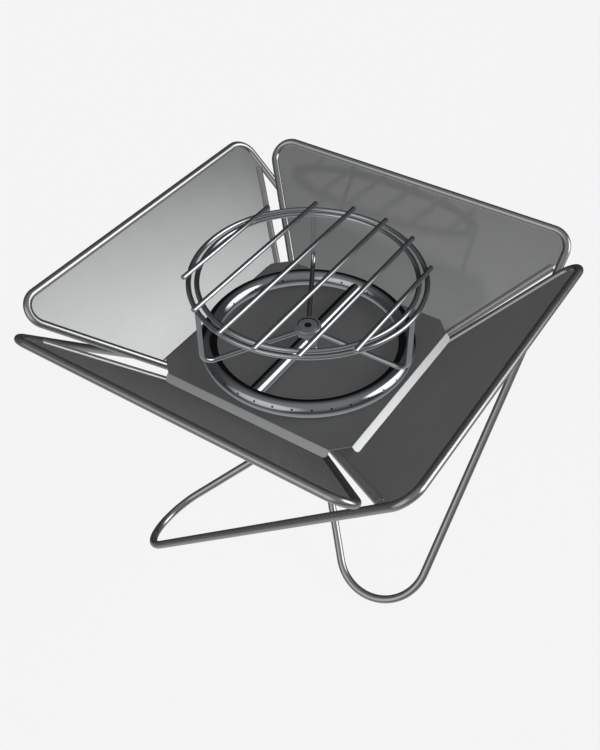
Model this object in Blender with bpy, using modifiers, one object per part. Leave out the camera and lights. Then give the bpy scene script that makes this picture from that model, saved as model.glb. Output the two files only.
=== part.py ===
"""Folding camping stove: four sheet wings on bent-rod loops, a drop-in tray,
a ring burner on a centre hub and a round pot stand clamped on top of it."""
import math

import bmesh
import bpy
from mathutils import Matrix, Vector

# ---------------------------------------------------------------- dimensions
HALF = 0.200            # half the square formed by the top rods, centre lines
ROD_R = 0.0039          # loop rod radius
SLOPE = math.radians(42.73)
TRAY_Z = 0.2000         # top face of the tray above the ground
RIM_Z = TRAY_Z + 0.0761  # top rod centre line
GAP = 0.0003            # clearance between neighbouring pieces

ARM_U = 0.8712 * HALF   # straight arm, square to the top rod
DIAG_U = 0.8930 * HALF  # where the slanted arm meets the top rod
DIAG_RUN = 0.708        # sideways run of the slanted arm per unit down
FOOT_R = 0.2263 * HALF  # bend of the ground foot
CORNER_S = 0.095 * HALF  # bend at the straight arm's corner
CORNER_D = 0.085 * HALF  # bend at the slanted arm's corner

SHEET_T = 0.0010        # wing sheet
PANEL_END = 1.05 * HALF  # lower edge of the sheet, measured down the slope
CURL_R = 0.0038         # rolled edge along the diagonal
CURL_U = 0.966 * HALF   # rolled edge centre line at the top rod
CURL_RUN = 0.712

TRAY_HALF = 0.516 * HALF
TRAY_CUT = 0.0708 * HALF  # corner chamfer, measured along each side
TRAY_T = 0.0012
LIP_DROP = math.radians(47.3)  # lip angle below level, square to the wings
LIP_CORNER = 0.0042
TRAY_HOLE_R = 0.0066

RING_R = 0.473 * HALF   # burner ring centre line
RING_TUBE = 0.0408 * HALF
RING_WALL = 0.0014
RING_Z = TRAY_Z + 0.0485 * HALF
PORT_R = 0.0010
PORT_OUT_N = 36
PORT_OUT_TILT = math.radians(32.5)
PORT_IN_N = 18
PORT_IN_TILT = math.radians(152.5)

BAR_R = 0.0063          # feed bar across the ring
BAR_WALL = 0.0012
BAR_START = 0.0060      # inner end of a feed bar, inside the hub
HUB_R = 0.0098
HUB_TOP = TRAY_Z + 0.0186
STEM_R = 0.0062         # gas stem through the tray
STEM_BORE = 0.0042
SCREW_R = 0.0025

WIRE_R = 0.00236        # pot stand wire
OUT_R = 0.538 * HALF    # outer stand ring
IN_R = 0.5003 * HALF
STAND_Z = TRAY_Z + 0.4155 * HALF
LEG_Z = TRAY_Z + 0.108 * HALF
LEG_BEND = 0.0125
GRILL_PITCH = 0.1797 * HALF
GRILL_REACH = 0.562 * HALF
BOSS_R = 0.0129         # drum that carries the stand legs
BOSS_Z = (TRAY_Z + 0.0189, TRAY_Z + 0.0264)
HEAD_R = 0.0097         # clamp screw head, sunk in the drum
HEAD_Z = (TRAY_Z + 0.0215, TRAY_Z + 0.0260)

# ---------------------------------------------------------------- scene setup
for old in list(bpy.data.objects):
    bpy.data.objects.remove(old, do_unlink=True)

PARTS = bpy.data.collections.new("camping_stove")
CUTTERS = bpy.data.collections.new("cutters")
bpy.context.scene.collection.children.link(PARTS)
bpy.context.scene.collection.children.link(CUTTERS)


def material(name, colour, rough, metal):
    mat = bpy.data.materials.new(name)
    mat.use_nodes = True
    shader = mat.node_tree.nodes["Principled BSDF"]
    shader.inputs["Base Color"].default_value = (*colour, 1.0)
    shader.inputs["Roughness"].default_value = rough
    shader.inputs["Metallic"].default_value = metal
    return mat


LOOKS = {
    "rod": ((0.55, 0.55, 0.54), 0.24, 1.0),
    "sheet": ((0.42, 0.42, 0.41), 0.34, 1.0),
    "tray": ((0.33, 0.33, 0.33), 0.38, 1.0),
    "chrome": ((0.62, 0.65, 0.67), 0.12, 1.0),
    "brass": ((0.70, 0.52, 0.24), 0.30, 1.0),
    "steel": ((0.50, 0.50, 0.49), 0.32, 1.0),
}


def finish(obj, look, smooth=True):
    colour, rough, metal = LOOKS[look]
    obj.data.materials.clear()
    obj.data.materials.append(material(obj.name, colour, rough, metal))
    if obj.type == "MESH":
        for face in obj.data.polygons:
            face.use_smooth = smooth
    return obj


def place(name, data, home=PARTS):
    obj = bpy.data.objects.new(name, data)
    home.objects.link(obj)
    if home is CUTTERS:
        obj.hide_render = True
        obj.display_type = "WIRE"
    return obj


def mesh_from(name, bm):
    bmesh.ops.recalc_face_normals(bm, faces=bm.faces)
    data = bpy.data.meshes.new(name)
    bm.to_mesh(data)
    bm.free()
    return data


def cut(obj, cutter, kind="DIFFERENCE"):
    mod = obj.modifiers.new(kind.lower(), "BOOLEAN")
    mod.operation = kind
    mod.solver = "EXACT"
    mod.object = cutter
    return mod


def wire(name, points, radius, look, closed=False, res=2):
    curve = bpy.data.curves.new(name, "CURVE")
    curve.dimensions = "3D"
    curve.bevel_depth = radius
    curve.bevel_resolution = res
    curve.use_fill_caps = not closed
    line = curve.splines.new("POLY")
    line.points.add(len(points) - 1)
    for spot, point in zip(line.points, points):
        spot.co = (*point, 1.0)
    line.use_cyclic_u = closed
    line.use_smooth = True
    return finish(place(name, curve), look)


def turned(name, profile, look, steps=32, home=PARTS):
    """Spin a closed (radius, height) outline round the vertical axis."""
    bm = bmesh.new()
    rows = []
    for i in range(steps):
        a = 2 * math.pi * i / steps
        rows.append([bm.verts.new((r * math.cos(a), r * math.sin(a), z))
                     if r > 0 else None for r, z in profile])
    poles = {}
    for k, (r, z) in enumerate(profile):
        if r == 0:
            poles[k] = bm.verts.new((0, 0, z))
    count = len(profile)
    for i in range(steps):
        j = (i + 1) % steps
        for k in range(count):
            m = (k + 1) % count
            if k in poles and m in poles:
                continue
            if k in poles:
                bm.faces.new((poles[k], rows[i][m], rows[j][m]))
            elif m in poles:
                bm.faces.new((rows[i][k], poles[m], rows[j][k]))
            else:
                bm.faces.new((rows[i][k], rows[i][m], rows[j][m], rows[j][k]))
    obj = place(name, mesh_from(name, bm), home)
    if home is PARTS:
        finish(obj, look)
    return obj


def slab(bm, outline, low, high):
    """A closed prism over a flat outline, between two heights."""
    bottom = [bm.verts.new((x, y, low)) for x, y in outline]
    top = [bm.verts.new((x, y, high)) for x, y in outline]
    bm.faces.new(bottom)
    bm.faces.new(top)
    for i in range(len(outline)):
        j = (i + 1) % len(outline)
        bm.faces.new((bottom[i], bottom[j], top[j], top[i]))


def rounded(before, corner, after, radius, steps):
    """Arc points that round one corner of a flat outline."""
    a = (before - corner).normalized()
    b = (after - corner).normalized()
    half = a.angle(b) / 2
    centre = corner + (a + b).normalized() * radius / math.sin(half)
    start = corner + a * radius / math.tan(half) - centre
    end = corner + b * radius / math.tan(half) - centre
    turn = start.angle_signed(end)
    return [centre + Matrix.Rotation(-turn * i / steps, 2) @ start
            for i in range(steps + 1)]


# ---------------------------------------------------------------- the wings
# In a wing's own plane: x along the top rod, y down the slope.
def loop_outline(inset=0.0):
    """Bent-rod loop: straight arm, slanted arm and the foot between them."""
    lean = math.hypot(1.0, DIAG_RUN)
    top_s = Vector((ARM_U - inset, inset))
    top_d = Vector((-DIAG_U + inset * (lean + DIAG_RUN), inset))
    meet = (ARM_U - inset + DIAG_U - inset * lean) / DIAG_RUN
    toe = Vector((ARM_U - inset, meet))
    pts = rounded(top_d, top_s, toe, CORNER_S - inset, 6)
    pts += rounded(top_s, toe, top_d, FOOT_R - inset, 16)
    pts += rounded(toe, top_d, top_s, CORNER_D - inset, 8)
    return pts


def wing_frame(turn):
    """Place a wing: tilt about the top rod, then turn round the stove."""
    spin = Matrix.Rotation(turn, 4, "Z")
    return spin @ Matrix.Translation((0, HALF, RIM_Z)) @ Matrix.Rotation(SLOPE, 4, "X")


def panel_outline():
    """Sheet outline inside the loop, open-ended above the feet."""
    edge = ROD_R + GAP
    lean = math.hypot(1.0, DIAG_RUN)
    top_s = Vector((ARM_U - edge, edge))
    top_d = Vector((-DIAG_U + edge * (lean + DIAG_RUN), edge))
    meet = (ARM_U - edge + DIAG_U - edge * lean) / DIAG_RUN
    toe = Vector((ARM_U - edge, meet))
    curl_v = (CURL_U - (ARM_U - edge)) / CURL_RUN
    pts = rounded(top_d, top_s, toe, CORNER_S - edge, 6)
    pts.append(Vector((ARM_U - edge, curl_v)))
    pts.append(Vector((CURL_U - CURL_RUN * PANEL_END, PANEL_END)))
    slant = -DIAG_U + edge * lean + DIAG_RUN * PANEL_END
    pts.append(Vector((slant, PANEL_END)))
    pts += rounded(toe, top_d, top_s, CORNER_D - edge, 8)
    return pts


def rolled_edge(name):
    """Round bead rolled on the sheet's diagonal edge."""
    top_v = (CURL_U - ARM_U + ROD_R + GAP) / CURL_RUN
    top_v += CURL_R * math.hypot(1, CURL_RUN) / CURL_RUN + 0.0004
    start = Vector((CURL_U - CURL_RUN * top_v, -top_v, 0))
    end = Vector((CURL_U - CURL_RUN * PANEL_END, -PANEL_END, 0))
    bm = bmesh.new()
    bmesh.ops.create_cone(bm, cap_ends=True, segments=12, radius1=CURL_R,
                          radius2=CURL_R, depth=(end - start).length)
    aim = (end - start).to_track_quat("Z", "Y").to_matrix().to_4x4()
    bm.transform(Matrix.Translation((start + end) / 2) @ aim)
    return place(name, mesh_from(name, bm), CUTTERS)


WINGS = (("rear", 0.0), ("left", 0.5 * math.pi), ("front", math.pi),
         ("right", -0.5 * math.pi))
for side, turn in WINGS:
    frame = wing_frame(turn)
    points = [Vector((p.x, -p.y, 0)) for p in loop_outline()]
    loop = wire(f"wing_{side}_loop", points, ROD_R, "rod", closed=True)
    loop.matrix_world = frame
    bm = bmesh.new()
    slab(bm, [(p.x, -p.y) for p in panel_outline()], -SHEET_T / 2, SHEET_T / 2)
    panel = place(f"wing_{side}_panel", mesh_from(f"wing_{side}_panel", bm))
    panel.matrix_world = frame
    bead = rolled_edge(f"bead_{side}")
    bead.matrix_world = frame
    cut(panel, bead, "UNION")
    finish(panel, "sheet", smooth=False)

# ---------------------------------------------------------------- the tray
def wing_surface(x):
    """Height of a wing sheet's upper face at distance x from the axis."""
    mid = RIM_Z - (HALF - x) * math.tan(SLOPE)
    return mid + SHEET_T / 2 / math.cos(SLOPE)


def tray_sheet():
    """Chamfered plate with four turned-down lips, as one bent face."""
    rise = math.sin(LIP_DROP) + math.cos(LIP_DROP) * math.tan(SLOPE)
    lip = (TRAY_Z - GAP - TRAY_T - wing_surface(TRAY_HALF)) / rise
    half = TRAY_HALF - TRAY_CUT
    across = [-half + LIP_CORNER * (1 - math.cos(0.5 * math.pi * i / 4))
              for i in range(5)]
    across += [-x for x in reversed(across)]
    bm = bmesh.new()
    rim = []
    for k in range(4):
        turn = Matrix.Rotation(-0.5 * math.pi * k, 4, "Z")
        rows = []
        for drop, out in ((0.0, 0.0), (0.35, 0.0006), (0.7, 0.0014)):
            dip = out * math.sin(LIP_DROP * drop)
            rows.append([turn @ Vector((x, TRAY_HALF - 0.0006 + out, TRAY_Z - dip))
                         for x in across])
        foot = []
        for i, x in enumerate(across):
            j = min(i, 9 - i)
            short = LIP_CORNER * (1 - math.sin(0.5 * math.pi * j / 4))
            run = lip - short
            foot.append(turn @ Vector((x, TRAY_HALF + run * math.cos(LIP_DROP),
                                       TRAY_Z - run * math.sin(LIP_DROP))))
        rows.append(foot)
        verts = [[bm.verts.new(p) for p in row] for row in rows]
        for upper, lower in zip(verts, verts[1:]):
            for i in range(len(across) - 1):
                bm.faces.new((upper[i], upper[i + 1], lower[i + 1], lower[i]))
        rim += verts[0]
    bm.faces.new(rim)
    data = mesh_from("tray", bm)
    if data.polygons[-1].normal.z < 0:
        data.flip_normals()
    return data


tray = place("tray", tray_sheet())
plate = tray.modifiers.new("sheet", "SOLIDIFY")
plate.thickness = TRAY_T
plate.offset = -1
plate.use_even_offset = True
hole = turned("tray_hole", [(0, TRAY_Z + 0.01), (TRAY_HOLE_R, TRAY_Z + 0.01),
                            (TRAY_HOLE_R, TRAY_Z - 0.01), (0, TRAY_Z - 0.01)],
              "tray", 24, CUTTERS)
cut(tray, hole)
finish(tray, "tray", smooth=False)


# ---------------------------------------------------------------- the burner
def torus(name, major, minor, height, sides, steps, home=PARTS):
    bpy.ops.mesh.primitive_torus_add(
        major_radius=major, minor_radius=minor, major_segments=sides,
        minor_segments=steps, location=(0, 0, height))
    obj = bpy.context.object
    for holder in list(obj.users_collection):
        holder.objects.unlink(obj)
    home.objects.link(obj)
    obj.name = name
    obj.data.name = name
    if home is CUTTERS:
        obj.hide_render = True
        obj.display_type = "WIRE"
    return obj


def drill_set(name, spots, radius, length, sides=6):
    """Many small straight drills as one cutter, each at a point and aim."""
    bm = bmesh.new()
    for spot, aim in spots:
        turn = aim.to_track_quat("Z", "Y").to_matrix().to_4x4()
        made = bmesh.ops.create_cone(bm, cap_ends=True, segments=sides,
                                     radius1=radius, radius2=radius, depth=length)
        bmesh.ops.transform(bm, matrix=Matrix.Translation(spot) @ turn,
                            verts=made["verts"])
    return place(name, mesh_from(name, bm), CUTTERS)


def port_row(count, first, tilt):
    rows = []
    for i in range(count):
        a = first + 2 * math.pi * i / count
        out = Vector((math.cos(a), math.sin(a), 0))
        aim = out * math.cos(tilt) + Vector((0, 0, math.sin(tilt)))
        spot = out * RING_R + Vector((0, 0, RING_Z)) + aim * (RING_TUBE - RING_WALL / 2)
        rows.append((spot, aim))
    return rows


ring = torus("burner_ring", RING_R, RING_TUBE, RING_Z, 60, 12)
ring.rotation_euler = (0, 0, math.radians(1.3))
core = torus("ring_core", RING_R, RING_TUBE - RING_WALL, RING_Z, 60, 8, CUTTERS)
core.rotation_euler = (0, 0, math.radians(1.3))
cut(ring, core)
spots = port_row(PORT_OUT_N, math.radians(5), PORT_OUT_TILT)
spots += port_row(PORT_IN_N, 0.0, PORT_IN_TILT)
cut(ring, drill_set("ring_ports", spots, PORT_R, 3 * RING_WALL))
feed_reach = RING_R - RING_TUBE
feeds = [(Vector((0, s * (feed_reach + 0.001), RING_Z)), Vector((0, s, 0)))
         for s in (-1, 1)]
cut(ring, drill_set("ring_feeds", feeds, BAR_R - BAR_WALL, 0.010, 16))
finish(ring, "chrome")

saddle = torus("bar_saddle", RING_R, RING_TUBE + GAP, RING_Z, 60, 16, CUTTERS)
for side, sign in (("front", -1), ("rear", 1)):
    length = RING_R - RING_TUBE + 0.0028 - BAR_START
    bar = turned(f"feed_bar_{side}", [(BAR_R - BAR_WALL, 0), (BAR_R, 0),
                                      (BAR_R, length), (BAR_R - BAR_WALL, length)],
                 "chrome", 20)
    bar.rotation_euler = (-sign * math.pi / 2, 0, 0)
    bar.location = (0, sign * BAR_START, RING_Z)
    cut(bar, saddle)
    finish(bar, "chrome")


def drill(name, radius, low, high, sides=20):
    """Upright plain cutter between two heights."""
    return turned(name, [(0, high), (radius, high), (radius, low), (0, low)],
                  "steel", sides, CUTTERS)


# hub: pockets for the feed bars, a way up for the gas, a tapped top
hub = turned("hub_body", [(0, HUB_TOP), (HUB_R - 0.0004, HUB_TOP),
                          (HUB_R, HUB_TOP - 0.0030), (HUB_R, TRAY_Z + GAP),
                          (0, TRAY_Z + GAP)], "chrome", 32)
seat = BAR_START - GAP
narrow = BAR_R - BAR_WALL - 0.0005
tool = turned("hub_cross", [(0, 0.02), (BAR_R + GAP, 0.02), (BAR_R + GAP, seat),
                            (narrow, seat), (narrow, -seat), (BAR_R + GAP, -seat),
                            (BAR_R + GAP, -0.02), (0, -0.02)], "steel", 24, CUTTERS)
tool.rotation_euler = (-math.pi / 2, 0, 0)
tool.location = (0, 0, RING_Z)
cut(hub, tool)
way = turned("hub_way", [(0, RING_Z), (STEM_BORE, RING_Z), (STEM_BORE, TRAY_Z + 0.0024),
                         (STEM_R + GAP, TRAY_Z + 0.0024),
                         (STEM_R + GAP, TRAY_Z - 0.01), (0, TRAY_Z - 0.01)],
             "steel", 20, CUTTERS)
way.rotation_euler = (0, 0, math.radians(4))
cut(hub, way)
cut(hub, drill("hub_tap", SCREW_R + GAP, HUB_TOP - 0.0036, HUB_TOP + 0.01))
finish(hub, "chrome")

# gas stem: from the hub down through the tray, air windows above the jet
stem_top = TRAY_Z + 0.0021
stem_low = TRAY_Z - 0.0420
stem = turned("gas_stem", [(STEM_BORE, stem_top), (STEM_R, stem_top),
                           (STEM_R, stem_low), (STEM_BORE, stem_low)], "brass", 28)
windows = []
for i in range(4):
    a = 0.25 * math.pi + 0.5 * math.pi * i
    out = Vector((math.cos(a), math.sin(a), 0))
    windows.append((out * 0.0052 + Vector((0, 0, TRAY_Z - 0.026)), out))
cut(stem, drill_set("air_windows", windows, 0.0022, 0.006, 10))
finish(stem, "brass")

under = TRAY_Z - TRAY_T - GAP
turned("tray_washer", [(STEM_R + GAP, under), (0.0110, under),
                       (0.0110, under - 0.0012), (STEM_R + GAP, under - 0.0012)],
       "steel", 28)


def hex_points(radius):
    return [(radius * math.cos(math.pi / 3 * i), radius * math.sin(math.pi / 3 * i))
            for i in range(6)]


def hex_block(name, radius, low, high, look, home=PARTS):
    bm = bmesh.new()
    slab(bm, hex_points(radius), low, high)
    obj = place(name, mesh_from(name, bm), home)
    if home is PARTS:
        finish(obj, look, smooth=False)
    return obj


nut_top = under - 0.0012 - GAP
nut = hex_block("lock_nut", 0.0105, nut_top - 0.0055, nut_top, "brass")
cut(nut, drill("nut_bore", STEM_R + GAP, nut_top - 0.02, nut_top + 0.01, 28))

# jet holder: a cup round the stem's foot with the jet on its floor
cup_r = STEM_R + GAP
floor = stem_low - GAP
holder = turned("jet_holder", [
    (cup_r, TRAY_Z - 0.0335), (0.0088, TRAY_Z - 0.0335), (0.0088, floor - 0.0030),
    (0.0068, floor - 0.0040), (0.0068, floor - 0.0100), (0.0025, floor - 0.0100),
    (0.0025, floor), (cup_r, floor)], "brass", 28)
turned("gas_jet", [(0.0004, floor + 0.0050), (0.0016, floor + 0.0042),
                   (0.0038, floor + 0.0030), (0.0038, floor + GAP),
                   (0.0022, floor + GAP), (0.0022, floor - 0.0050),
                   (0.0012, floor - 0.0050), (0.0012, floor + 0.0030),
                   (0.0004, floor + 0.0036)], "brass", 20)
# inlet union: hexagon with a plain nose for the supply line
nip_top = floor - 0.0100 - GAP
inlet = hex_block("inlet_union", 0.0086, nip_top - 0.0060, nip_top, "brass")
nose = drill("inlet_nose", 0.0046, nip_top - 0.0160, nip_top - 0.0050, 24)
cut(inlet, nose, "UNION")
cut(inlet, drill("inlet_bore", 0.0026, nip_top - 0.03, nip_top + 0.01, 20))

# ---------------------------------------------------------------- pot stand
boss_low, boss_high = BOSS_Z
head_low, head_high = HEAD_Z
turned("stand_boss", [
    (SCREW_R + GAP, head_low - GAP), (HEAD_R + 0.0006, head_low - GAP),
    (HEAD_R + 0.0006, boss_high), (BOSS_R - 0.0005, boss_high),
    (BOSS_R, boss_high - 0.0005), (BOSS_R, boss_low + 0.0012),
    (BOSS_R - 0.0024, boss_low), (SCREW_R + GAP, boss_low)], "chrome", 36)
screw = turned("clamp_screw", [
    (0, head_high), (HEAD_R - 0.0005, head_high), (HEAD_R, head_high - 0.0005),
    (HEAD_R, head_low), (SCREW_R, head_low), (SCREW_R, HUB_TOP - 0.0032),
    (0, HUB_TOP - 0.0032)], "chrome", 32)
socket = hex_block("clamp_socket", 0.0039, head_high - 0.0026, head_high + 0.01,
                   "chrome", CUTTERS)
cut(screw, socket)
finish(screw, "chrome")

for name, radius in (("stand_ring_outer", OUT_R), ("stand_ring_inner", IN_R)):
    finish(torus(name, radius, WIRE_R, STAND_Z, 64, 8), "chrome")

# legs: out from the drum above the burner ring, then up under the outer ring
leg_top = STAND_Z - WIRE_R - GAP
for i, side in enumerate(("right", "rear", "left")):
    a = 2 * math.pi * i / 3
    pts = [Vector((BOSS_R + GAP, 0, LEG_Z))]
    for k in range(8):
        t = 0.5 * math.pi * k / 7
        pts.append(Vector((OUT_R - LEG_BEND + LEG_BEND * math.sin(t), 0,
                           LEG_Z + LEG_BEND - LEG_BEND * math.cos(t))))
    pts.append(Vector((OUT_R, 0, leg_top)))
    leg = wire(f"stand_leg_{side}", pts, WIRE_R, "chrome")
    leg.rotation_euler = (0, 0, a)

rod_z = STAND_Z + 2 * WIRE_R + GAP
for i in range(6):
    x = GRILL_PITCH * (i - 2.5)
    reach = math.sqrt(GRILL_REACH ** 2 - x ** 2)
    wire(f"grill_rod_{i + 1}", [Vector((x, -reach, rod_z)), Vector((x, reach, rod_z))],
         WIRE_R, "chrome")
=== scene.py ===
"""Camping stove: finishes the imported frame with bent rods, rolled sheets,
a drilled ring burner and a wire pot stand, in polished and satin steel."""
import math

import bpy
from mathutils import Matrix, Vector


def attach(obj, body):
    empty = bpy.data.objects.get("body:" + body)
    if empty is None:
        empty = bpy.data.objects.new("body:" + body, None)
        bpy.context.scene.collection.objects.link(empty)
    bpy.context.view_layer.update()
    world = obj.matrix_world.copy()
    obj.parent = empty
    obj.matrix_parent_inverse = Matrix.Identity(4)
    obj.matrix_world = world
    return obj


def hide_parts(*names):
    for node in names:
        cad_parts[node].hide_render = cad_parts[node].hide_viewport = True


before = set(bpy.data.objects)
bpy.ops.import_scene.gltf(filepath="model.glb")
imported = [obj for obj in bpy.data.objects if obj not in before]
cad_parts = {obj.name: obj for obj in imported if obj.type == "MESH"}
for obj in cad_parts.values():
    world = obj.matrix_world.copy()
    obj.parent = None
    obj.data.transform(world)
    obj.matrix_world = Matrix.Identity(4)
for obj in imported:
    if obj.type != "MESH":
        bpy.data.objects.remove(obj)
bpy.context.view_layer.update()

# ------------------------------------------------------------ sizes, metres
HALF = 0.200            # half the square of the top rods, centre to centre
ROD_R = 0.0039
SLOPE = math.radians(42.73)
TRAY_Z = 0.2000
RIM_Z = TRAY_Z + 0.0761
ARM_U = 0.8712 * HALF
DIAG_U = 0.8930 * HALF
DIAG_RUN = 0.708
FOOT_R = 0.2263 * HALF
CORNER_S = 0.095 * HALF
CORNER_D = 0.085 * HALF
SHEET_T = 0.0010
PANEL_END = 1.05 * HALF
CURL_R = 0.0038
CURL_U = 0.966 * HALF
CURL_RUN = 0.712
TRAY_HALF = 0.516 * HALF
TRAY_CUT = 0.0708 * HALF
TRAY_T = 0.0012
LIP_DROP = math.radians(47.3)
LIP_CORNER = 0.0042
RING_R = 0.473 * HALF
RING_TUBE = 0.0408 * HALF
RING_Z = TRAY_Z + 0.0485 * HALF
PORT_R = 0.0010
BAR_R = 0.0063
HUB_R = 0.0098
HUB_TOP = TRAY_Z + 0.0186
WIRE_R = 0.00236
OUT_R = 0.538 * HALF
IN_R = 0.5003 * HALF
STAND_Z = TRAY_Z + 0.4155 * HALF
LEG_Z = TRAY_Z + 0.108 * HALF
LEG_BEND = 0.0125
GRILL_PITCH = 0.1797 * HALF
GRILL_REACH = 0.562 * HALF
BOSS_R = 0.0129
STEM_R = 0.0062
GAP = 0.0003
WINGS = (("rear", 0.0), ("left", 0.5), ("front", 1.0), ("right", -0.5))


# ------------------------------------------------------------ bench tools
def put_down():
    if bpy.context.mode != "OBJECT":
        bpy.ops.object.mode_set(mode="OBJECT")
    bpy.ops.object.select_all(action="DESELECT")


def hold(piece):
    put_down()
    piece.select_set(True)
    bpy.context.view_layer.objects.active = piece


def fix_place(piece):
    hold(piece)
    bpy.ops.object.transform_apply(location=True, rotation=True, scale=True)
    return piece


def pick(piece, kind, test):
    """Select verts, edges or faces of the piece in edit mode by a test on their centre."""
    bpy.ops.object.mode_set(mode="EDIT")
    bpy.ops.mesh.select_mode(type=kind)
    bpy.ops.mesh.select_all(action="DESELECT")
    bpy.ops.object.mode_set(mode="OBJECT")
    data = piece.data
    if kind == "VERT":
        for item in data.vertices:
            item.select = bool(test(item.co))
    elif kind == "EDGE":
        for item in data.edges:
            a, b = (data.vertices[i].co for i in item.vertices)
            item.select = bool(test(a, b))
    else:
        for item in data.polygons:
            item.select = bool(test(item.center, item.normal))
    bpy.ops.object.mode_set(mode="EDIT")


def close_up(piece, reach=0.00002):
    """Merge doubles and turn every face outward."""
    bpy.ops.object.mode_set(mode="EDIT")
    bpy.ops.mesh.select_all(action="SELECT")
    bpy.ops.mesh.remove_doubles(threshold=reach)
    bpy.ops.mesh.normals_make_consistent(inside=False)
    bpy.ops.object.mode_set(mode="OBJECT")


def apply_mods(piece):
    hold(piece)
    for mod in list(piece.modifiers):
        bpy.ops.object.modifier_apply(modifier=mod.name)


def ease_edges(piece, width, rings=2, limit=35):
    mod = piece.modifiers.new("eased", "BEVEL")
    mod.width = width
    mod.segments = rings
    mod.limit_method = "ANGLE"
    mod.angle_limit = math.radians(limit)
    mod.use_clamp_overlap = True
    apply_mods(piece)


def smooth(piece, angle=32):
    hold(piece)
    bpy.ops.object.shade_smooth_by_angle(angle=math.radians(angle))


def done(piece, name, body, look, stands_for=()):
    piece.name = name
    piece.data.name = name
    piece.data.materials.clear()
    piece.data.materials.append(look)
    piece.visible_glossy = False    # gloss comes from the room, not from other pieces
    put_down()
    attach(piece, body)
    if stands_for:
        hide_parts(*stands_for)
    return piece


def paint_shade_inside(piece, test):
    """Paint shade on the faces inside a hole or recess: a near-black colour stands in for
    the shade that falls there.
    """
    piece.data.materials.append(LOOK_PAINTED_SHADE)
    for face in piece.data.polygons:
        if test(face.center):
            face.material_index = 1


def twin(piece, turn):
    """A copy with its own mesh, turned and fixed in place."""
    copy = piece.copy()
    copy.data = piece.data.copy()
    bpy.context.scene.collection.objects.link(copy)
    copy.matrix_world = turn
    return fix_place(copy)


def ring_outline(radius, at, heading, sides, filled=False):
    """A circle of the rod's section, facing along the heading."""
    put_down()
    aim = Vector(heading).to_track_quat("Z", "Y").to_euler()
    bpy.ops.mesh.primitive_circle_add(
        vertices=sides, radius=radius, location=at, rotation=aim,
        fill_type="NGON" if filled else "NOTHING")
    return fix_place(bpy.context.object)


def bend_rod(radius, at, heading, route, sides=20, closed=False, tip=0.0):
    """Draw a section along ("run", length) and ("turn", radius, angle, axis, steps)."""
    piece = ring_outline(radius, at, heading, sides, filled=not closed)
    spot, way = Vector(at), Vector(heading).normalized()
    bpy.ops.object.mode_set(mode="EDIT")
    bpy.ops.mesh.select_all(action="SELECT")
    for step in route:
        if step[0] == "run":
            bpy.ops.mesh.extrude_region_move(
                TRANSFORM_OT_translate={"value": tuple(way * step[1])})
            spot = spot + way * step[1]
        else:
            bend, angle, axis, count = step[1:]
            axis = Vector(axis)
            centre = spot + axis.cross(way) * math.copysign(bend, angle)
            # in a background run, spin turns the other way round its axis
            bpy.ops.mesh.spin(steps=count, angle=-angle, center=centre, axis=axis)
            turn = Matrix.Rotation(angle, 3, axis)
            spot = centre + turn @ (spot - centre)
            way = turn @ way
    bpy.ops.object.mode_set(mode="OBJECT")
    close_up(piece)
    if tip:
        ease_edges(piece, tip, 3, 50)
    smooth(piece, 40)
    return piece


def turned_piece(profile, sides=64, edge=0.0002):
    """Lathe work: a disc raised and scaled step by step up a (radius, height) list."""
    radius, height = profile[0]
    piece = ring_outline(radius, (0, 0, height), (0, 0, 1), sides, filled=True)
    bpy.ops.object.mode_set(mode="EDIT")
    bpy.ops.mesh.select_all(action="SELECT")
    for r, z in profile[1:]:
        bpy.ops.mesh.extrude_region_move(
            TRANSFORM_OT_translate={"value": (0, 0, z - height)})
        grow = r / radius
        bpy.ops.transform.resize(value=(grow, grow, 1), center_override=(0, 0, z))
        radius, height = r, z
    bpy.ops.object.mode_set(mode="OBJECT")
    close_up(piece, 0.000005)
    if edge:
        ease_edges(piece, edge, 2, 25)
    smooth(piece, 35)
    return piece


def carve(piece, tool, kind="DIFFERENCE"):
    mod = piece.modifiers.new("carved", "BOOLEAN")
    mod.operation = kind
    mod.solver = "EXACT"
    mod.object = tool
    apply_mods(piece)
    bpy.data.objects.remove(tool, do_unlink=True)


def joined(tools):
    put_down()
    for tool in tools:
        tool.select_set(True)
    bpy.context.view_layer.objects.active = tools[0]
    bpy.ops.object.join()
    return tools[0]


# ------------------------------------------------------------ finishes
def group(name, inputs, outputs):
    tree = bpy.data.node_groups.new(name, "ShaderNodeTree")
    for label, kind, value in inputs:
        socket = tree.interface.new_socket(name=label, in_out="INPUT", socket_type=kind)
        if value is not None:
            socket.default_value = value
    for label, kind in outputs:
        tree.interface.new_socket(name=label, in_out="OUTPUT", socket_type=kind)
    return tree, tree.nodes.new("NodeGroupInput"), tree.nodes.new("NodeGroupOutput")


def node(tree, kind, **settings):
    made = tree.nodes.new(kind)
    for key, value in settings.items():
        if key.startswith("in_"):
            made.inputs[key[3:].replace("_", " ")].default_value = value
        else:
            setattr(made, key, value)
    return made


def math_node(tree, kind, a, b=None, clamp=False):
    made = tree.nodes.new("ShaderNodeMath")
    made.operation = kind
    made.use_clamp = clamp
    for slot, value in ((0, a), (1, b)):
        if value is None:
            continue
        if isinstance(value, (int, float)):
            made.inputs[slot].default_value = value
        else:
            tree.links.new(value, made.inputs[slot])
    return made.outputs[0]


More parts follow.
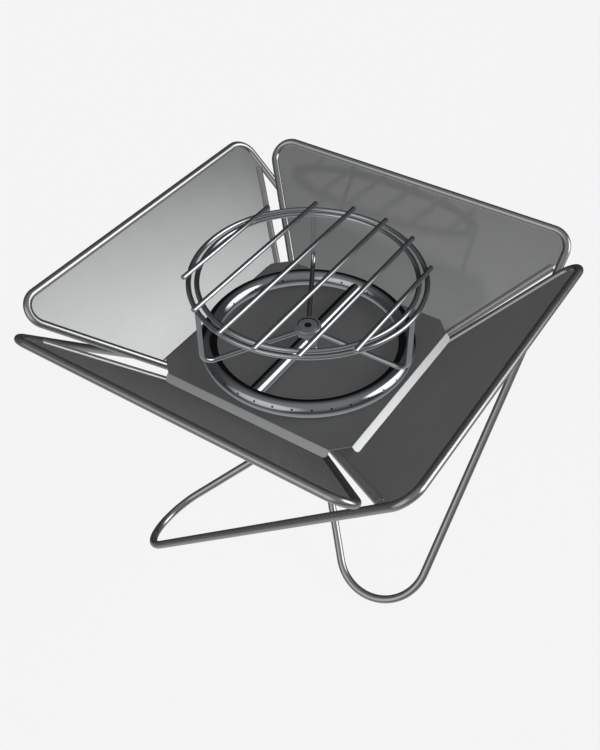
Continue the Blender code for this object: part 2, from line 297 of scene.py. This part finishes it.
def fine_grain():
    """Drawn or brushed grain: hair lines stretched along one axis, plus a soft cloud."""
    tree, gin, gout = group("fine_grain", [
        ("Place", "NodeSocketVector", None), ("Lines", "NodeSocketVector", None),
        ("Cloud Size", "NodeSocketFloat", 30.0)],
        [("Hair", "NodeSocketFloat"), ("Cloud", "NodeSocketFloat")])
    stretch = node(tree, "ShaderNodeVectorMath", operation="MULTIPLY")
    tree.links.new(gin.outputs["Place"], stretch.inputs[0])
    tree.links.new(gin.outputs["Lines"], stretch.inputs[1])
    hair = node(tree, "ShaderNodeTexNoise", in_Scale=1.0, in_Detail=4.0, in_Roughness=0.65)
    tree.links.new(stretch.outputs[0], hair.inputs["Vector"])
    cloud = node(tree, "ShaderNodeTexNoise", in_Detail=3.0, in_Roughness=0.5)
    tree.links.new(gin.outputs["Place"], cloud.inputs["Vector"])
    tree.links.new(gin.outputs["Cloud Size"], cloud.inputs["Scale"])
    tree.links.new(hair.outputs[0], gout.inputs["Hair"])
    tree.links.new(cloud.outputs[0], gout.inputs["Cloud"])
    return tree


def handling_marks():
    """Sparse thin scratches and dull wiped patches."""
    tree, gin, gout = group("handling_marks", [
        ("Place", "NodeSocketVector", None), ("Spread", "NodeSocketFloat", 40.0)],
        [("Scratch", "NodeSocketFloat"), ("Wipe", "NodeSocketFloat")])
    warp = node(tree, "ShaderNodeTexNoise", in_Scale=9.0, in_Detail=2.0)
    tree.links.new(gin.outputs["Place"], warp.inputs["Vector"])
    mixed = node(tree, "ShaderNodeVectorMath", operation="MULTIPLY_ADD")
    tree.links.new(warp.outputs["Color"], mixed.inputs[0])
    mixed.inputs[1].default_value = (0.05, 0.05, 0.05)
    tree.links.new(gin.outputs["Place"], mixed.inputs[2])
    cells = node(tree, "ShaderNodeTexVoronoi", feature="DISTANCE_TO_EDGE")
    tree.links.new(mixed.outputs[0], cells.inputs["Vector"])
    tree.links.new(gin.outputs["Spread"], cells.inputs["Scale"])
    line = node(tree, "ShaderNodeMapRange")
    line.inputs["From Min"].default_value = 0.0
    line.inputs["From Max"].default_value = 0.012
    line.inputs["To Min"].default_value = 1.0
    line.inputs["To Max"].default_value = 0.0
    tree.links.new(cells.outputs["Distance"], line.inputs["Value"])
    patch = node(tree, "ShaderNodeTexNoise", in_Scale=14.0, in_Detail=5.0, in_Roughness=0.6)
    tree.links.new(gin.outputs["Place"], patch.inputs["Vector"])
    keep = node(tree, "ShaderNodeMapRange")
    keep.inputs["From Min"].default_value = 0.48
    keep.inputs["From Max"].default_value = 0.66
    tree.links.new(patch.outputs[0], keep.inputs["Value"])
    lone = math_node(tree, "MULTIPLY", line.outputs[0], keep.outputs[0])
    tree.links.new(lone, gout.inputs["Scratch"])
    tree.links.new(patch.outputs[0], gout.inputs["Wipe"])
    return tree


HAIR_SHARE = 0.35        # how much of a metal's colour follows the hair lines
GRAIN = fine_grain()
MARKS = handling_marks()


def metal(name, dark, light, rough, lines, cloud=30.0, rough_swing=0.08,
          bump=0.02, scratch=0.12, bare=1.0):
    """Metal whose colour, roughness and relief follow the grain and the marks."""
    mat = bpy.data.materials.new(name)
    mat.use_nodes = True
    tree = mat.node_tree
    shader = tree.nodes["Principled BSDF"]
    shader.inputs["Metallic"].default_value = bare
    place = node(tree, "ShaderNodeTexCoord")
    grain = node(tree, "ShaderNodeGroup", node_tree=GRAIN)
    grain.inputs["Lines"].default_value = lines
    grain.inputs["Cloud Size"].default_value = cloud
    marks = node(tree, "ShaderNodeGroup", node_tree=MARKS)
    tree.links.new(place.outputs["Object"], grain.inputs["Place"])
    tree.links.new(place.outputs["Object"], marks.inputs["Place"])
    hair = math_node(tree, "MULTIPLY", grain.outputs["Hair"], HAIR_SHARE)
    soft = math_node(tree, "MULTIPLY", grain.outputs["Cloud"], 1.0 - HAIR_SHARE)
    blend = math_node(tree, "ADD", hair, soft)
    tint = node(tree, "ShaderNodeMix", data_type="RGBA")
    tree.links.new(blend, tint.inputs[0])
    tint.inputs[6].default_value = (*dark, 1)
    tint.inputs[7].default_value = (*light, 1)
    tree.links.new(tint.outputs[2], shader.inputs["Base Color"])
    swing = math_node(tree, "MULTIPLY", blend, rough_swing * 2)
    worn = math_node(tree, "MULTIPLY", marks.outputs["Scratch"], scratch)
    level = math_node(tree, "ADD", swing, rough - rough_swing)
    level = math_node(tree, "ADD", level, worn, clamp=True)
    tree.links.new(level, shader.inputs["Roughness"])
    dent = math_node(tree, "MULTIPLY", marks.outputs["Scratch"], -0.6)
    relief = math_node(tree, "ADD", grain.outputs["Hair"], dent)
    push = node(tree, "ShaderNodeBump", in_Strength=bump, in_Distance=0.0004)
    tree.links.new(relief, push.inputs["Height"])
    tree.links.new(push.outputs[0], shader.inputs["Normal"])
    return mat


LOOK_ROD = metal("drawn_rod", (0.50, 0.50, 0.50), (0.58, 0.58, 0.58), 0.20,
                 (60, 60, 60), 30.0, 0.02, 0.001, 0.01, bare=0.86)
LOOK_SHEET = metal("satin_sheet", (0.45, 0.45, 0.45), (0.53, 0.53, 0.525), 0.15,
                   (420, 420, 420), 38.0, 0.03, 0.018, 0.01, bare=0.5)
LOOK_TRAY = metal("satin_tray", (0.43, 0.43, 0.43), (0.51, 0.51, 0.51), 0.18,
                  (40, 500, 40), 40.0, 0.03, 0.002, 0.01, bare=0.6)
LOOK_CHROME = metal("polished_tube", (0.56, 0.59, 0.615), (0.64, 0.67, 0.69), 0.06,
                    (120, 120, 120), 40.0, 0.02, 0.001, 0.02)
LOOK_WIRE = metal("polished_wire", (0.58, 0.61, 0.63), (0.68, 0.70, 0.72), 0.08,
                  (120, 120, 120), 40.0, 0.02, 0.001, 0.02, bare=0.92)
LOOK_BOSS = metal("satin_boss", (0.46, 0.48, 0.50), (0.56, 0.58, 0.60), 0.18,
                  (150, 150, 150), 60.0, 0.04, 0.004, 0.03, bare=0.6)
# painted shade: a near-black colour put on the faces inside holes and recesses, where shade
# falls
LOOK_PAINTED_SHADE = metal("painted_shade_inside", (0.004, 0.004, 0.004), (0.010, 0.010, 0.010), 0.80,
                  (200, 200, 200), 60.0, 0.04, 0.01, bare=0.0)
LOOK_BRASS = metal("turned_brass", (0.52, 0.36, 0.14), (0.74, 0.56, 0.27), 0.28,
                   (80, 80, 900), 70.0, 0.06, 0.05)
LOOK_STEEL = metal("plated_steel", (0.40, 0.40, 0.38), (0.58, 0.58, 0.55), 0.34,
                   (400, 400, 400), 70.0, 0.06, 0.05)


# ------------------------------------------------------------ the wings
def wing_place(quarter):
    spin = Matrix.Rotation(math.pi * quarter, 4, "Z")
    return spin @ Matrix.Translation((0, HALF, RIM_Z)) @ Matrix.Rotation(SLOPE, 4, "X")


def make_loop():
    """One closed bent rod in its own plane: x along the top, -y down the slope."""
    reach = (ARM_U + DIAG_U) / DIAG_RUN
    toe_angle = math.atan(DIAG_RUN)
    slant_angle = 0.5 * math.pi - toe_angle
    cut_s = CORNER_S
    cut_toe = FOOT_R / math.tan(toe_angle / 2)
    cut_d = CORNER_D / math.tan(slant_angle / 2)
    slant = math.hypot(reach, ARM_U + DIAG_U)
    route = [
        ("run", reach - cut_s - cut_toe),
        ("turn", FOOT_R, -(math.pi - toe_angle), (0, 0, 1), 40),
        ("run", slant - cut_toe - cut_d),
        ("turn", CORNER_D, -(math.pi - slant_angle), (0, 0, 1), 24),
        ("run", ARM_U + DIAG_U - cut_d - cut_s),
        ("turn", CORNER_S, -0.5 * math.pi, (0, 0, 1), 18)]
    return bend_rod(ROD_R, (ARM_U, -cut_s, 0), (0, -1, 0), route, 24, closed=True)


def make_sheet():
    """One wing sheet with a bead rolled along its diagonal, in the loop's plane."""
    put_down()
    tuck = ROD_R - 0.0006
    lean = math.hypot(1.0, DIAG_RUN)
    bpy.ops.mesh.primitive_plane_add(size=1.0, location=(0, -0.5 + 0.004, 0))
    sheet = fix_place(bpy.context.object)
    bpy.ops.object.mode_set(mode="EDIT")
    cuts = (
        ((0, -tuck, 0), (0, 1, 0)),
        ((0, -PANEL_END, 0), (0, -1, 0)),
        ((ARM_U - tuck, 0, 0), (1, 0, 0)),
        ((CURL_U, 0, 0), (1, -CURL_RUN, 0)),
        ((-DIAG_U + tuck * lean, 0, 0), (-1, -DIAG_RUN, 0)))
    for spot, outward in cuts:
        bpy.ops.mesh.select_all(action="SELECT")
        bpy.ops.mesh.bisect(plane_co=spot, plane_no=outward, clear_outer=True)
    bpy.ops.mesh.select_all(action="SELECT")
    bpy.ops.mesh.dissolve_limited(angle_limit=0.01)
    bpy.ops.object.mode_set(mode="OBJECT")
    pick(sheet, "VERT", lambda c: c.y > -0.006 and c.x > 0)
    bpy.ops.mesh.bevel(offset=CORNER_S - tuck, segments=10, affect="VERTICES")
    tail = (CORNER_D - tuck) / math.tan((0.5 * math.pi - math.atan(DIAG_RUN)) / 2)
    pick(sheet, "VERT", lambda c: c.y > -0.006 and c.x < -0.1)
    bpy.ops.mesh.bevel(offset=tail, segments=14, affect="VERTICES")
    pick(sheet, "FACE", lambda c, n: True)
    bpy.ops.mesh.extrude_region_move(
        TRANSFORM_OT_translate={"value": (0, 0, SHEET_T)})
    bpy.ops.mesh.select_all(action="SELECT")
    bpy.ops.transform.translate(value=(0, 0, -SHEET_T / 2))
    bpy.ops.object.mode_set(mode="OBJECT")
    close_up(sheet)
    ease_edges(sheet, 0.00022, 2, 40)
    top_v = (CURL_U - ARM_U + ROD_R) / CURL_RUN + 0.0032
    start = Vector((CURL_U - CURL_RUN * top_v, -top_v, 0))
    end = Vector((CURL_U - CURL_RUN * PANEL_END, -PANEL_END, 0))
    bead = bend_rod(CURL_R, start, end - start, [("run", (end - start).length)], 24)
    # hollow the rolled bead at both ends
    along = (end - start).normalized()
    pick(bead, "FACE", lambda c, n: abs(n.dot(along)) > 0.9)
    bpy.ops.mesh.inset(thickness=0.0010, use_individual=True)
    bpy.ops.mesh.extrude_region_shrink_fatten(
        TRANSFORM_OT_shrink_fatten={"value": -0.006})
    bpy.ops.object.mode_set(mode="OBJECT")
    close_up(bead)
    ease_edges(bead, 0.0002, 2, 50)
    piece = joined([sheet, bead])
    smooth(piece, 19)
    return piece


loop_first = make_loop()
sheet_first = make_sheet()
for side, quarter in WINGS:
    loop = twin(loop_first, wing_place(quarter))
    done(loop, f"rod_loop_{side}", "frame", LOOK_ROD,
         [f"wing_{side}_loop"])
    sheet = twin(sheet_first, wing_place(quarter))
    done(sheet, f"sheet_{side}", "frame", LOOK_SHEET,
         [f"wing_{side}_panel"])
for spare in (loop_first, sheet_first):
    bpy.data.objects.remove(spare, do_unlink=True)


# ------------------------------------------------------------ the tray
def wing_surface(x):
    return RIM_Z - (HALF - x) * math.tan(SLOPE) + SHEET_T / 2 / math.cos(SLOPE)


def make_tray():
    put_down()
    bend, inset = 0.0012, 0.0004
    flat = TRAY_HALF - inset
    bpy.ops.mesh.primitive_plane_add(size=2 * flat, location=(0, 0, TRAY_Z))
    tray = fix_place(bpy.context.object)
    pick(tray, "VERT", lambda c: True)
    bpy.ops.mesh.bevel(offset=TRAY_CUT - inset, segments=1, affect="VERTICES")
    bpy.ops.object.mode_set(mode="OBJECT")
    rise = math.sin(LIP_DROP) + math.cos(LIP_DROP) * math.tan(SLOPE)
    lip = (TRAY_Z - GAP - TRAY_T - wing_surface(TRAY_HALF)) / rise - inset
    for k in range(4):
        out = Vector((round(math.sin(0.5 * math.pi * k)),
                      round(math.cos(0.5 * math.pi * k)), 0))
        side = Vector((out.y, -out.x, 0))
        pick(tray, "EDGE", lambda a, b: min(a.dot(out), b.dot(out)) > flat - 0.0002)
        centre = out * flat + Vector((0, 0, TRAY_Z - bend))
        bpy.ops.mesh.spin(steps=4, angle=LIP_DROP, center=centre, axis=side)
        down = out * math.cos(LIP_DROP) + Vector((0, 0, -math.sin(LIP_DROP)))
        bpy.ops.mesh.extrude_region_move(TRANSFORM_OT_translate={"value": down * lip})
        bpy.ops.mesh.select_mode(type="VERT")
        bpy.ops.mesh.bevel(offset=LIP_CORNER, segments=7, affect="VERTICES")
        bpy.ops.object.mode_set(mode="OBJECT")
    close_up(tray)
    if sum(f.normal.z * f.area for f in tray.data.polygons) < 0:
        hold(tray)
        bpy.ops.object.mode_set(mode="EDIT")
        bpy.ops.mesh.flip_normals()
        bpy.ops.object.mode_set(mode="OBJECT")
    wall = tray.modifiers.new("wall", "SOLIDIFY")
    wall.thickness = TRAY_T
    wall.offset = -1
    wall.use_even_offset = True
    apply_mods(tray)
    ease_edges(tray, 0.0002, 2, 40)
    smooth(tray, 19)
    return tray


done(make_tray(), "tray_sheet", "tray_unit", LOOK_TRAY, ["tray"])


# ------------------------------------------------------------ the burner
def tube_ring(major, minor, height, around, section):
    put_down()
    bpy.ops.mesh.primitive_torus_add(
        major_radius=major, minor_radius=minor, major_segments=around,
        minor_segments=section, location=(0, 0, height))
    return fix_place(bpy.context.object)


def port_drills():
    tools = []
    # how many, degrees to the first, degrees up from level: outer row, inner row
    rows = ((36, 5.0, 32.5), (18, 0.0, 152.5))
    for count, first, tilt in rows:
        for i in range(count):
            a = math.radians(first) + 2 * math.pi * i / count
            t = math.radians(tilt)
            out = Vector((math.cos(a), math.sin(a), 0))
            aim = out * math.cos(t) + Vector((0, 0, math.sin(t)))
            spot = out * RING_R + Vector((0, 0, RING_Z)) + aim * RING_TUBE
            put_down()
            bpy.ops.mesh.primitive_cylinder_add(
                vertices=14, radius=PORT_R, depth=0.010, location=spot,
                rotation=aim.to_track_quat("Z", "Y").to_euler())
            tools.append(bpy.context.object)
    return fix_place(joined(tools))


burner = tube_ring(RING_R, RING_TUBE, RING_Z, 180, 32)
carve(burner, port_drills())
smooth(burner, 40)
done(burner, "ring_tube", "tray_unit", LOOK_CHROME, ["burner_ring"])
# painted shade inside the port holes drilled in the ring
paint_shade_inside(burner, lambda c: math.hypot(
    math.hypot(c.x, c.y) - RING_R, c.z - RING_Z) < RING_TUBE - 0.0003)

BAR_START, BAR_SEAT = 0.0060, 0.0028    # inside the hub, and into the ring tube
for side, sign in (("front", -1), ("rear", 1)):
    bar = bend_rod(BAR_R, (0, sign * BAR_START, RING_Z), (0, sign, 0),
                   [("run", RING_R - RING_TUBE - BAR_START + BAR_SEAT)], 36)
    done(bar, f"cross_bar_{side}", "tray_unit", LOOK_CHROME,
         [f"feed_bar_{side}"])

hub = turned_piece([
    (HUB_R - 0.0006, TRAY_Z + GAP), (HUB_R, TRAY_Z + GAP + 0.0008),
    (HUB_R, TRAY_Z + 0.0012), (HUB_R - 0.0004, TRAY_Z + 0.0016),
    (HUB_R - 0.0004, HUB_TOP - 0.0030), (HUB_R - 0.0004, HUB_TOP)], 64)
done(hub, "hub_column", "tray_unit", LOOK_CHROME, ["hub_body"])


def threaded(core, crest, low, high, pitch):
    """A profile of thread crests between two heights."""
    rows = []
    count = max(1, int(round((high - low) / pitch)))
    step = (high - low) / count
    for i in range(count):
        z = low + i * step
        rows += [(core, z), (crest, z + step * 0.35), (crest, z + step * 0.55),
                 (core, z + step * 0.92)]
    return rows


stem_low, stem_core = TRAY_Z - 0.0420, STEM_R - 0.0006
stem = turned_piece(
    [(stem_core, stem_low), (stem_core, TRAY_Z - 0.0150)]
    + threaded(stem_core, STEM_R, TRAY_Z - 0.0148, TRAY_Z - 0.0010, 0.0011)
    + [(stem_core, TRAY_Z + 0.0021)], 48, edge=0)
windows = []
for i in range(4):
    a = 0.25 * math.pi + 0.5 * math.pi * i
    aim = Vector((math.cos(a), math.sin(a), 0))
    put_down()
    bpy.ops.mesh.primitive_cylinder_add(
        vertices=24, radius=0.0022, depth=0.006,
        location=aim * 0.0052 + Vector((0, 0, TRAY_Z - 0.026)),
        rotation=aim.to_track_quat("Z", "Y").to_euler())
    windows.append(bpy.context.object)
carve(stem, fix_place(joined(windows)))
smooth(stem, 30)
done(stem, "stem_tube", "tray_unit", LOOK_BRASS, ["gas_stem"])


def hex_piece(radius, low, high):
    """A hexagon block with its corners turned down."""
    block = ring_outline(radius, (0, 0, low), (0, 0, 1), 6, filled=True)
    bpy.ops.object.mode_set(mode="EDIT")
    bpy.ops.mesh.select_all(action="SELECT")
    bpy.ops.mesh.extrude_region_move(
        TRANSFORM_OT_translate={"value": (0, 0, high - low)})
    bpy.ops.object.mode_set(mode="OBJECT")
    close_up(block)
    form = turned_piece([
        (radius * 0.90, low - 0.0001), (radius * 1.02, low + radius * 0.07),
        (radius * 1.02, high - radius * 0.07), (radius * 0.90, high + 0.0001)],
        48, edge=0)
    carve(block, form, "INTERSECT")
    ease_edges(block, min(0.0005, (high - low) * 0.05), 2, 30)
    smooth(block, 30)
    return block


under = TRAY_Z - TRAY_T - GAP
washer = turned_piece([(0.0108, under - 0.0012), (0.0110, under - 0.0010),
                       (0.0110, under - 0.0002), (0.0108, under)], 48, edge=0)
done(washer, "washer_disc", "tray_unit", LOOK_STEEL, ["tray_washer"])
nut_top = under - 0.0012 - GAP
nut = hex_piece(0.0105, nut_top - 0.0055, nut_top)
done(nut, "nut_hex", "tray_unit", LOOK_BRASS, ["lock_nut"])

cup_floor = stem_low - GAP
cup = turned_piece([
    (0.0060, cup_floor - 0.0100), (0.0068, cup_floor - 0.0092),
    (0.0068, cup_floor - 0.0040), (0.0080, cup_floor - 0.0034),
    (0.0088, cup_floor - 0.0026), (0.0088, cup_floor + 0.0010),
    (0.0084, cup_floor + 0.0014), (0.0084, cup_floor + 0.0026),
    (0.0088, cup_floor + 0.0030),
    (0.0088, TRAY_Z - 0.0340), (0.0082, TRAY_Z - 0.0335)], 56, edge=0.00015)
done(cup, "jet_cup", "tray_unit", LOOK_BRASS, ["jet_holder"])
nip_top = cup_floor - 0.0100 - GAP
union = hex_piece(0.0086, nip_top - 0.0060, nip_top)
nose = turned_piece(
    [(0.0040, nip_top - 0.0160), (0.0046, nip_top - 0.0154)]
    + threaded(0.0041, 0.0046, nip_top - 0.0150, nip_top - 0.0064, 0.0010)
    + [(0.0041, nip_top - 0.0050)], 40, edge=0)
pick(nose, "FACE", lambda c, n: n.z < -0.9 and c.z < nip_top - 0.0158)
bpy.ops.mesh.inset(thickness=0.0014)
bpy.ops.mesh.extrude_region_move(TRANSFORM_OT_translate={"value": (0, 0, 0.009)})
bpy.ops.object.mode_set(mode="OBJECT")
smooth(nose, 30)
inlet = joined([union, nose])
done(inlet, "inlet_fitting", "tray_unit", LOOK_BRASS, ["inlet_union"])
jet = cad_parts["gas_jet"]
jet.data.materials.clear()
jet.data.materials.append(LOOK_BRASS)

# ------------------------------------------------------------ the pot stand
boss_low, boss_high = TRAY_Z + 0.0189, TRAY_Z + 0.0264
head_low, head_high = TRAY_Z + 0.0215, TRAY_Z + 0.0260
boss = turned_piece([
    (BOSS_R - 0.0034, boss_low), (BOSS_R - 0.0022, boss_low + 0.0004),
    (BOSS_R, boss_low + 0.0018), (BOSS_R, boss_high - 0.0008),
    (BOSS_R - 0.0008, boss_high)], 72, edge=0.0003)
pick(boss, "FACE", lambda c, n: n.z > 0.9 and c.z > boss_high - 0.0001)
bpy.ops.mesh.inset(thickness=0.0019)
bpy.ops.mesh.extrude_region_move(
    TRANSFORM_OT_translate={"value": (0, 0, head_low - boss_high - GAP)})
bpy.ops.object.mode_set(mode="OBJECT")
smooth(boss, 30)
done(boss, "boss_drum", "pot_stand", LOOK_BOSS, ["stand_boss"])
# painted shade on the walls and floor of the boss's recess
paint_shade_inside(boss, lambda c: c.xy.length < BOSS_R - 0.0023
             and boss_low + 0.0008 < c.z < boss_high - 0.0005)

head = turned_piece([
    (0.0092, head_low), (0.0097, head_low + 0.0004), (0.0097, head_high - 0.0006),
    (0.0091, head_high)], 64, edge=0.0002)
put_down()
bpy.ops.mesh.primitive_cylinder_add(
    vertices=6, radius=0.0039, depth=0.006, location=(0, 0, head_high + 0.0004))
socket = fix_place(bpy.context.object)
carve(head, socket)
smooth(head, 30)
done(head, "screw_head", "clamp", LOOK_BOSS, ["clamp_screw"])
# painted shade inside the hexagon socket
paint_shade_inside(head, lambda c: c.xy.length < 0.0040
             and head_low + 0.0005 < c.z < head_high - 0.0003)

for label, radius in (("outer", OUT_R), ("inner", IN_R)):
    band = tube_ring(radius, WIRE_R, STAND_Z, 192, 20)
    smooth(band, 60)
    done(band, f"wire_ring_{label}", "pot_stand", LOOK_WIRE,
         [f"stand_ring_{label}"])

leg_top = STAND_Z - WIRE_R
leg_first = bend_rod(WIRE_R, (BOSS_R - 0.0006, 0, LEG_Z), (1, 0, 0), [
    ("run", OUT_R - LEG_BEND - BOSS_R + 0.0006),
    ("turn", LEG_BEND, 0.5 * math.pi, (0, -1, 0), 14),
    ("run", leg_top - LEG_Z - LEG_BEND + 0.0006)], 20)
for i, side in enumerate(("right", "rear", "left")):
    leg = twin(leg_first, Matrix.Rotation(2 * math.pi * i / 3, 4, "Z"))
    done(leg, f"wire_leg_{side}", "pot_stand", LOOK_WIRE,
         [f"stand_leg_{side}"])
bpy.data.objects.remove(leg_first, do_unlink=True)

rod_z = STAND_Z + 2 * WIRE_R
for i in range(6):
    x = GRILL_PITCH * (i - 2.5)
    reach = math.sqrt(GRILL_REACH ** 2 - x ** 2)
    rod = bend_rod(WIRE_R, (x, -reach, rod_z), (0, 1, 0), [("run", 2 * reach)],
                   20, tip=0.0007)
    done(rod, f"wire_rod_{i + 1}", "pot_stand", LOOK_WIRE,
         [f"grill_rod_{i + 1}"])

# ------------------------------------------------------------ room and light
put_down()
bpy.ops.mesh.primitive_plane_add(size=30, location=(0, 0, -0.0005))
ground = bpy.context.object
ground.name = "pale_floor"
ground.visible_glossy = False
pale = bpy.data.materials.new("pale_floor")
pale.use_nodes = True
tree = pale.node_tree
shader = tree.nodes["Principled BSDF"]
shader.inputs["Base Color"].default_value = (0.06, 0.06, 0.06, 1)
shader.inputs["Roughness"].default_value = 0.9
shader.inputs["Specular IOR Level"].default_value = 0.0
shader.inputs["Emission Color"].default_value = (0.880, 0.880, 0.880, 1)
shader.inputs["Emission Strength"].default_value = 1.0
ground.data.materials.append(pale)

ROOM_LEVEL, DARKEST = 0.06, 0.006


def way(azimuth, elevation):
    a, e = math.radians(azimuth), math.radians(elevation)
    return (math.cos(a) * math.cos(e), math.sin(a) * math.cos(e), math.sin(e))


# toward, cosine of the angle where it starts, cosine where it is full, amount:
# a bright patch at the right, its low strip, the front left, above the camera,
# below, and a dark patch low down, straight behind the stove
GLOWS = ((way(28, 26), 0.892, 0.974, 2.20),
         (way(33, 2), 0.93, 0.992, 0.90),
         (way(-100, 20), 0.743, 0.966, 0.56),
         (way(-57, 58), 0.30, 0.95, 0.18),
         (way(0, -90), 0.25, 1.00, 0.34),
         (way(124, -8), 0.62, 0.90, -0.40))
world = bpy.data.worlds.new("studio")
bpy.context.scene.world = world
world.use_nodes = True
sky = world.node_tree
back = sky.nodes["Background"]
look_dir = node(sky, "ShaderNodeTexCoord")
unit = node(sky, "ShaderNodeVectorMath", operation="NORMALIZE")
sky.links.new(look_dir.outputs["Generated"], unit.inputs[0])


def glow(toward, start, end, level):
    """A broad soft patch of light in one direction of the room."""
    facing = node(sky, "ShaderNodeVectorMath", operation="DOT_PRODUCT")
    sky.links.new(unit.outputs[0], facing.inputs[0])
    facing.inputs[1].default_value = Vector(toward).normalized()
    fade = node(sky, "ShaderNodeMapRange", interpolation_type="SMOOTHSTEP")
    fade.inputs["From Min"].default_value = start
    fade.inputs["From Max"].default_value = end
    fade.inputs["To Max"].default_value = level
    sky.links.new(facing.outputs["Value"], fade.inputs["Value"])
    return fade.outputs[0]


level = None
for toward, start, end, amount in GLOWS:
    patch = glow(toward, start, end, amount)
    level = patch if level is None else math_node(sky, "ADD", level, patch)
level = math_node(sky, "ADD", level, ROOM_LEVEL)
level = math_node(sky, "MAXIMUM", level, DARKEST)
tone = node(sky, "ShaderNodeCombineColor")
for band, share in (("Red", 0.985), ("Green", 1.0), ("Blue", 1.01)):
    sky.links.new(math_node(sky, "MULTIPLY", level, share), tone.inputs[band])
seen = node(sky, "ShaderNodeLightPath")
shown = node(sky, "ShaderNodeMix", data_type="RGBA")
sky.links.new(seen.outputs["Is Camera Ray"], shown.inputs[0])
sky.links.new(tone.outputs[0], shown.inputs[6])
shown.inputs[7].default_value = (0.90, 0.90, 0.90, 1)
sky.links.new(shown.outputs[2], back.inputs["Color"])
back.inputs["Strength"].default_value = 1.0


def far_lamp(name, azimuth, elevation, strength, casts):
    """A distant lamp that lights matt colour only, so it makes no hot spots on chrome."""
    lamp = bpy.data.lights.new(name, "SUN")
    lamp.energy = strength
    lamp.angle = math.radians(2.0)
    lamp.specular_factor = 0.0
    lamp.use_shadow = casts
    holder = bpy.data.objects.new(name, lamp)
    bpy.context.scene.collection.objects.link(holder)
    toward = Vector(way(azimuth, elevation))
    holder.rotation_euler = toward.to_track_quat("Z", "Y").to_euler()
    holder.visible_glossy = False


far_lamp("low_key", -82, 8, 0.55, True)
far_lamp("back_fill", 124, 15, 1.05, False)

camera_data = bpy.data.cameras.new("camera")
camera = bpy.data.objects.new("camera", camera_data)
bpy.context.scene.collection.objects.link(camera)
camera.location = (0.3770, -0.5790, 0.8183)
heading, tilt, roll = math.radians(33.72), math.radians(46.42), math.radians(-0.52)
camera.rotation_euler = (
    Matrix.Rotation(heading, 3, "Z") @ Matrix.Rotation(tilt, 3, "X")
    @ Matrix.Rotation(roll, 3, "Z")).to_euler()
camera_data.sensor_width = 36.0
camera_data.lens = 46.20912
camera_data.clip_start = 0.01
bpy.context.scene.camera = camera
bpy.context.scene.view_settings.view_transform = "Standard"
